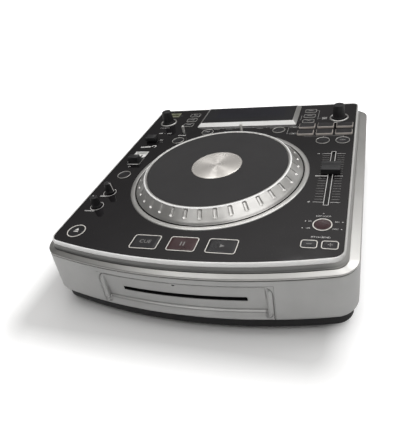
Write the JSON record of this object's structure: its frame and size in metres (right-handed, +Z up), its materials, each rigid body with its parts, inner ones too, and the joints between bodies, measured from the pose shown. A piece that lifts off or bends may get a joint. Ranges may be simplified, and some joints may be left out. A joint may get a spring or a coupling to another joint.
{
  "type": "tabletop disc player",
  "caption": "Tabletop disc player for DJ use: silver case, glossy black deck with jog wheel, pitch fader, dials and keys, display at the back, disc slot in the front.",
  "frame": {"origin": "middle of the case's plan, on the table under the rubber feet", "axes": "+X to the user's right, +Y from the user to the back, +Z up; the disc slot is at the -Y end"},
  "size_m": [0.324, 0.357, 0.1025],
  "materials": {
    "silver_case": "silver-grey metallic lacquer, satin",
    "bright_trim": "bright silver, semi-gloss",
    "wheel_silver": "bright silver lacquer on plastic, semi-gloss",
    "gloss_deck": "glossy black",
    "black_tray": "matt black",
    "rubber": "matt black rubber",
    "steel": "bare steel",
    "socket_metal": "bare metal sockets",
    "olive_metal": "dull greenish metal",
    "display_glass": "smoked display window",
    "white_plastic": "white plastic",
    "board": "green circuit board",
    "drive_steel": "zinc-plated sheet steel",
    "slipmat": "dark grey matt print",
    "brushed_disc": "radially brushed metal disc",
    "key_black": "dark translucent plastic",
    "knob_black": "satin black",
    "lever_metal": "bright metal",
    "drive_plastic": "dark plastic"
  },
  "bodies": {
    "case": {"base_tray": "black_tray", "body_shell": "silver_case", "top_cover": "bright_trim", "deck_panel": "gloss_deck", "slot_bezel": "silver_case", "rubber_feet": "rubber", "case_screws": "steel", "rear_panel": "black_tray", "rear_sockets": "socket_metal", "power_inlet": "black_tray", "usb_socket": "olive_metal", "display_bezel": "bright_trim", "display_module": "display_glass", "slide_guide": "white_plastic", "jog_ring": "bright_trim", "jog_bearing": "steel", "key_board": "board", "main_board": "board", "drive_chassis": "drive_steel"},
    "wheel": {"jog_wheel": "wheel_silver", "slipmat": "slipmat", "centre_cap": "brushed_disc"},
    "eject_key_body": {"eject_key": "key_black"},
    "cue_key_body": {"cue_key": "key_black"},
    "pause_key_body": {"pause_key": "key_black"},
    "play_key_body": {"play_key": "key_black"},
    "bend_down_key_body": {"bend_down_key": "key_black"},
    "bend_up_key_body": {"bend_up_key": "key_black"},
    "lock_key_body": {"lock_key": "key_black"},
    "round_key_1_body": {"round_key_1": "key_black"},
    "round_key_2_body": {"round_key_2": "key_black"},
    "round_key_3_body": {"round_key_3": "key_black"},
    "round_key_4_body": {"round_key_4": "key_black"},
    "round_key_5_body": {"round_key_5": "key_black"},
    "round_key_6_body": {"round_key_6": "key_black"},
    "pad_1_body": {"pad_1": "key_black"},
    "pad_2_body": {"pad_2": "key_black"},
    "pad_3_body": {"pad_3": "key_black"},
    "pad_4_body": {"pad_4": "key_black"},
    "pad_5_body": {"pad_5": "key_black"},
    "pad_6_body": {"pad_6": "key_black"},
    "mode_key_1_body": {"mode_key_1": "key_black"},
    "mode_key_2_body": {"mode_key_2": "key_black"},
    "mode_key_3_body": {"mode_key_3": "key_black"},
    "mode_key_4_body": {"mode_key_4": "key_black"},
    "mode_key_5_body": {"mode_key_5": "key_black"},
    "mode_key_6_body": {"mode_key_6": "key_black"},
    "left_dial_body": {"left_dial": "knob_black"},
    "right_dial_body": {"right_dial": "knob_black"},
    "rear_knob_body": {"rear_knob": "knob_black"},
    "front_knob_body": {"front_knob": "knob_black"},
    "pitch_fader_body": {"pitch_fader": "knob_black"},
    "slide_switch_body": {"slide_switch": "knob_black"},
    "reverse_paddle_body": {"reverse_paddle": "knob_black"},
    "left_lever_body": {"left_lever": "lever_metal"},
    "centre_lever_body": {"centre_lever": "lever_metal"},
    "power_rocker_body": {"power_rocker": "knob_black"},
    "disc_turntable_body": {"disc_turntable": "drive_plastic"},
    "laser_sled_body": {"laser_sled": "drive_plastic"},
    "feed_roller_body": {"feed_roller": "rubber"}
  },
  "joints": [
    {"name": "wheel_spin", "type": "hinge", "parent": "case", "child": "wheel", "pos_m": [0, -0.0188, 0.09], "axis": [0, 0, 1], "continuous": true},
    {"name": "eject_key_press", "type": "slide", "parent": "case", "child": "eject_key_body", "axis": [0, 0, -1], "range_m": [0, 0.0008], "stiffness_N_per_m": 600},
    {"name": "cue_key_press", "type": "slide", "parent": "case", "child": "cue_key_body", "axis": [0, 0, -1], "range_m": [0, 0.0008], "stiffness_N_per_m": 600},
    {"name": "pause_key_press", "type": "slide", "parent": "case", "child": "pause_key_body", "axis": [0, 0, -1], "range_m": [0, 0.0008], "stiffness_N_per_m": 600},
    {"name": "play_key_press", "type": "slide", "parent": "case", "child": "play_key_body", "axis": [0, 0, -1], "range_m": [0, 0.0008], "stiffness_N_per_m": 600},
    {"name": "bend_down_key_press", "type": "slide", "parent": "case", "child": "bend_down_key_body", "axis": [0, 0, -1], "range_m": [0, 0.0008], "stiffness_N_per_m": 600},
    {"name": "bend_up_key_press", "type": "slide", "parent": "case", "child": "bend_up_key_body", "axis": [0, 0, -1], "range_m": [0, 0.0008], "stiffness_N_per_m": 600},
    {"name": "lock_key_press", "type": "slide", "parent": "case", "child": "lock_key_body", "axis": [0, 0, -1], "range_m": [0, 0.0008], "stiffness_N_per_m": 600},
    {"name": "round_key_1_press", "type": "slide", "parent": "case", "child": "round_key_1_body", "axis": [0, 0, -1], "range_m": [0, 0.0008], "stiffness_N_per_m": 600},
    {"name": "round_key_2_press", "type": "slide", "parent": "case", "child": "round_key_2_body", "axis": [0, 0, -1], "range_m": [0, 0.0008], "stiffness_N_per_m": 600},
    {"name": "round_key_3_press", "type": "slide", "parent": "case", "child": "round_key_3_body", "axis": [0, 0, -1], "range_m": [0, 0.0008], "stiffness_N_per_m": 600},
    {"name": "round_key_4_press", "type": "slide", "parent": "case", "child": "round_key_4_body", "axis": [0, 0, -1], "range_m": [0, 0.0008], "stiffness_N_per_m": 600},
    {"name": "round_key_5_press", "type": "slide", "parent": "case", "child": "round_key_5_body", "axis": [0, 0, -1], "range_m": [0, 0.0008], "stiffness_N_per_m": 600},
    {"name": "round_key_6_press", "type": "slide", "parent": "case", "child": "round_key_6_body", "axis": [0, 0, -1], "range_m": [0, 0.0008], "stiffness_N_per_m": 600},
    {"name": "pad_1_press", "type": "slide", "parent": "case", "child": "pad_1_body", "axis": [0, 0, -1], "range_m": [0, 0.0008], "stiffness_N_per_m": 600},
    {"name": "pad_2_press", "type": "slide", "parent": "case", "child": "pad_2_body", "axis": [0, 0, -1], "range_m": [0, 0.0008], "stiffness_N_per_m": 600},
    {"name": "pad_3_press", "type": "slide", "parent": "case", "child": "pad_3_body", "axis": [0, 0, -1], "range_m": [0, 0.0008], "stiffness_N_per_m": 600},
    {"name": "pad_4_press", "type": "slide", "parent": "case", "child": "pad_4_body", "axis": [0, 0, -1], "range_m": [0, 0.0008], "stiffness_N_per_m": 600},
    {"name": "pad_5_press", "type": "slide", "parent": "case", "child": "pad_5_body", "axis": [0, 0, -1], "range_m": [0, 0.0008], "stiffness_N_per_m": 600},
    {"name": "pad_6_press", "type": "slide", "parent": "case", "child": "pad_6_body", "axis": [0, 0, -1], "range_m": [0, 0.0008], "stiffness_N_per_m": 600},
    {"name": "mode_key_1_press", "type": "slide", "parent": "case", "child": "mode_key_1_body", "axis": [0, 0, -1], "range_m": [0, 0.0008], "stiffness_N_per_m": 600},
    {"name": "mode_key_2_press", "type": "slide", "parent": "case", "child": "mode_key_2_body", "axis": [0, 0, -1], "range_m": [0, 0.0008], "stiffness_N_per_m": 600},
    {"name": "mode_key_3_press", "type": "slide", "parent": "case", "child": "mode_key_3_body", "axis": [0, 0, -1], "range_m": [0, 0.0008], "stiffness_N_per_m": 600},
    {"name": "mode_key_4_press", "type": "slide", "parent": "case", "child": "mode_key_4_body", "axis": [0, 0, -1], "range_m": [0, 0.0008], "stiffness_N_per_m": 600},
    {"name": "mode_key_5_press", "type": "slide", "parent": "case", "child": "mode_key_5_body", "axis": [0, 0, -1], "range_m": [0, 0.0008], "stiffness_N_per_m": 600},
    {"name": "mode_key_6_press", "type": "slide", "parent": "case", "child": "mode_key_6_body", "axis": [0, 0, -1], "range_m": [0, 0.0008], "stiffness_N_per_m": 600},
    {"name": "left_dial_turn", "type": "hinge", "parent": "case", "child": "left_dial_body", "pos_m": [-0.1226, 0.1289, 0.09], "axis": [0, 0, 1], "continuous": true},
    {"name": "right_dial_turn", "type": "hinge", "parent": "case", "child": "right_dial_body", "pos_m": [0.1268, 0.1277, 0.09], "axis": [0, 0, 1], "continuous": true},
    {"name": "rear_knob_turn", "type": "hinge", "parent": "case", "child": "rear_knob_body", "pos_m": [-0.124, -0.0588, 0.09], "axis": [0, 0, 1], "range_deg": [-50, 250]},
    {"name": "front_knob_turn", "type": "hinge", "parent": "case", "child": "front_knob_body", "pos_m": [-0.126, -0.0879, 0.09], "axis": [0, 0, 1], "range_deg": [-185, 115]},
    {"name": "pitch_slide", "type": "slide", "parent": "case", "child": "pitch_fader_body", "axis": [0, 1, 0], "range_m": [-0.0596, 0.0404]},
    {"name": "slide_switch_move", "type": "slide", "parent": "case", "child": "slide_switch_body", "axis": [0, 1, 0], "range_m": [0, 0.0184]},
    {"name": "reverse_tilt", "type": "hinge", "parent": "case", "child": "reverse_paddle_body", "pos_m": [-0.1255, 0.0707, 0.08], "axis": [1, 0, 0], "range_deg": [-9, 9], "stiffness_Nm_per_rad": 0.05},
    {"name": "left_lever_tilt", "type": "hinge", "parent": "case", "child": "left_lever_body", "pos_m": [-0.084, 0.0917, 0.0795], "axis": [1, 0, 0], "range_deg": [-14, 14], "stiffness_Nm_per_rad": 0.02},
    {"name": "centre_lever_tilt", "type": "hinge", "parent": "case", "child": "centre_lever_body", "pos_m": [0.0012, 0.0913, 0.0795], "axis": [0, 1, 0], "range_deg": [-14, 14], "stiffness_Nm_per_rad": 0.02},
    {"name": "power_switch_rock", "type": "hinge", "parent": "case", "child": "power_rocker_body", "pos_m": [-0.062, 0.166, 0.044], "axis": [1, 0, 0], "range_deg": [0, 16]},
    {"name": "disc_spin", "type": "hinge", "parent": "case", "child": "disc_turntable_body", "pos_m": [0, -0.0945, 0.044], "axis": [0, 0, 1], "continuous": true},
    {"name": "sled_slide", "type": "slide", "parent": "case", "child": "laser_sled_body", "axis": [0, 1, 0], "range_m": [0, 0.033]},
    {"name": "roller_spin", "type": "hinge", "parent": "case", "child": "feed_roller_body", "pos_m": [0, -0.1445, 0.0395], "axis": [1, 0, 0], "continuous": true}
  ]
}
